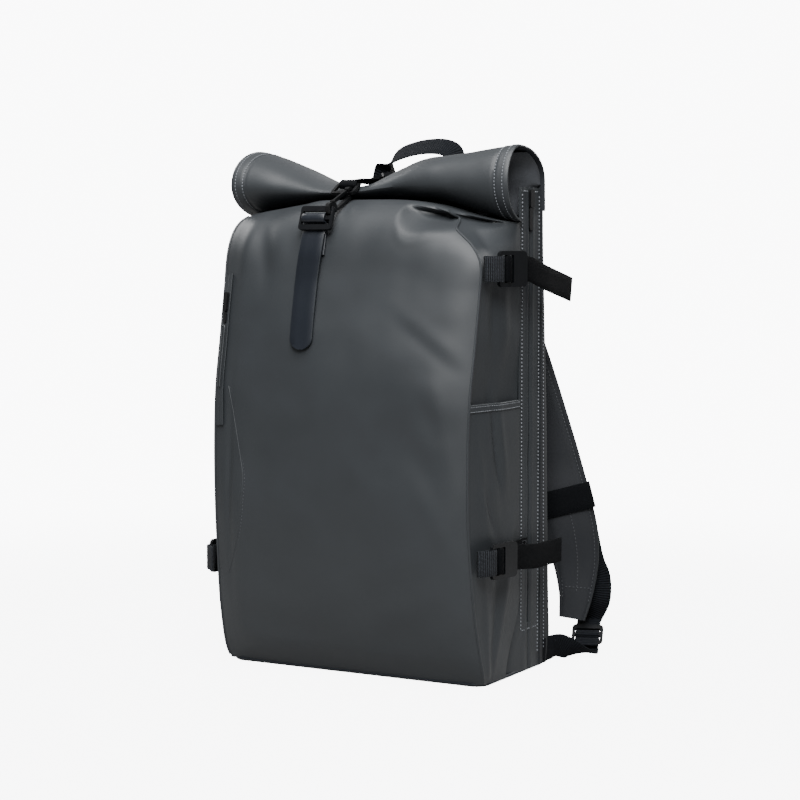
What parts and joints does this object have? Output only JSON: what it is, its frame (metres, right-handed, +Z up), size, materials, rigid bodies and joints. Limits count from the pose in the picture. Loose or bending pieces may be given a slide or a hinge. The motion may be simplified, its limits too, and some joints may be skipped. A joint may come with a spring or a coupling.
{
  "type": "rolltop backpack",
  "caption": "Rolltop backpack of coated fabric with side compression straps, zipped back compartment, hooked roll closure and padded shoulder straps.",
  "frame": {"origin": "Centre of the base, on the surface that the bag stands on.", "axes": "+X to the right seen from the front, +Y to the wearer's back, +Z up."},
  "size_m": [0.365, 0.2912, 0.5459],
  "materials": {
    "coated_fabric": "matt polyurethane-coated fabric, dark grey",
    "padded_fabric": "matt padded fabric, dark grey",
    "webbing": "ribbed black webbing",
    "moulded_plastic": "black moulded plastic, satin",
    "strap_coating": "smooth coated strap, blue-black",
    "dark_metal": "black painted die-cast metal"
  },
  "bodies": {
    "bag": {"front_panel": "coated_fabric", "base_panel": "coated_fabric", "back_panel": "padded_fabric", "roll_collar": "coated_fabric", "side_panel_right": "coated_fabric", "side_panel_left": "coated_fabric", "side_pocket_right": "coated_fabric", "side_pocket_left": "coated_fabric", "strip_front_right": "coated_fabric", "strip_front_left": "coated_fabric", "strip_rear_right": "coated_fabric", "strip_rear_left": "coated_fabric", "zip_tape_right": "webbing", "zip_tape_left": "webbing", "roll_tuck_right": "coated_fabric", "roll_tuck_left": "coated_fabric", "strap_loop_upper_right": "webbing", "buckle_upper_right": "moulded_plastic", "strap_upper_right": "webbing", "strap_loop_lower_right": "webbing", "buckle_lower_right": "moulded_plastic", "strap_lower_right": "webbing", "strap_loop_upper_left": "webbing", "buckle_upper_left": "moulded_plastic", "strap_upper_left": "webbing", "strap_loop_lower_left": "webbing", "buckle_lower_left": "moulded_plastic", "strap_lower_left": "webbing", "front_strap": "strap_coating", "front_slider": "moulded_plastic", "closure_ring": "dark_metal", "closure_webbing": "webbing", "closure_adjuster": "moulded_plastic", "snap_hook": "dark_metal", "grab_handle": "webbing", "shoulder_strap_right": "padded_fabric", "shoulder_strap_left": "padded_fabric", "chest_band_right": "webbing", "chest_band_left": "webbing", "foot_buckle_right": "moulded_plastic", "foot_buckle_left": "moulded_plastic", "foot_webbing_right": "webbing", "foot_webbing_left": "webbing", "anchor_webbing_right": "webbing", "anchor_webbing_left": "webbing", "side_zip_right_slider": "dark_metal", "side_zip_right_pull": "dark_metal", "side_zip_left_slider": "dark_metal", "side_zip_left_pull": "dark_metal", "front_zip": "webbing", "front_zip_slider": "dark_metal", "front_zip_pull": "dark_metal", "front_zip_loop": "webbing"},
    "gate": {"hook_gate": "dark_metal"}
  },
  "joints": [
    {"name": "gate_hinge", "type": "hinge", "parent": "bag", "child": "gate", "pos_m": [-0.0134, -0.08648, 0.47647], "axis": [1, 0, 0], "range_deg": [-10, 0], "stiffness_Nm_per_rad": 0.02, "springref_deg": 11.46}
  ]
}
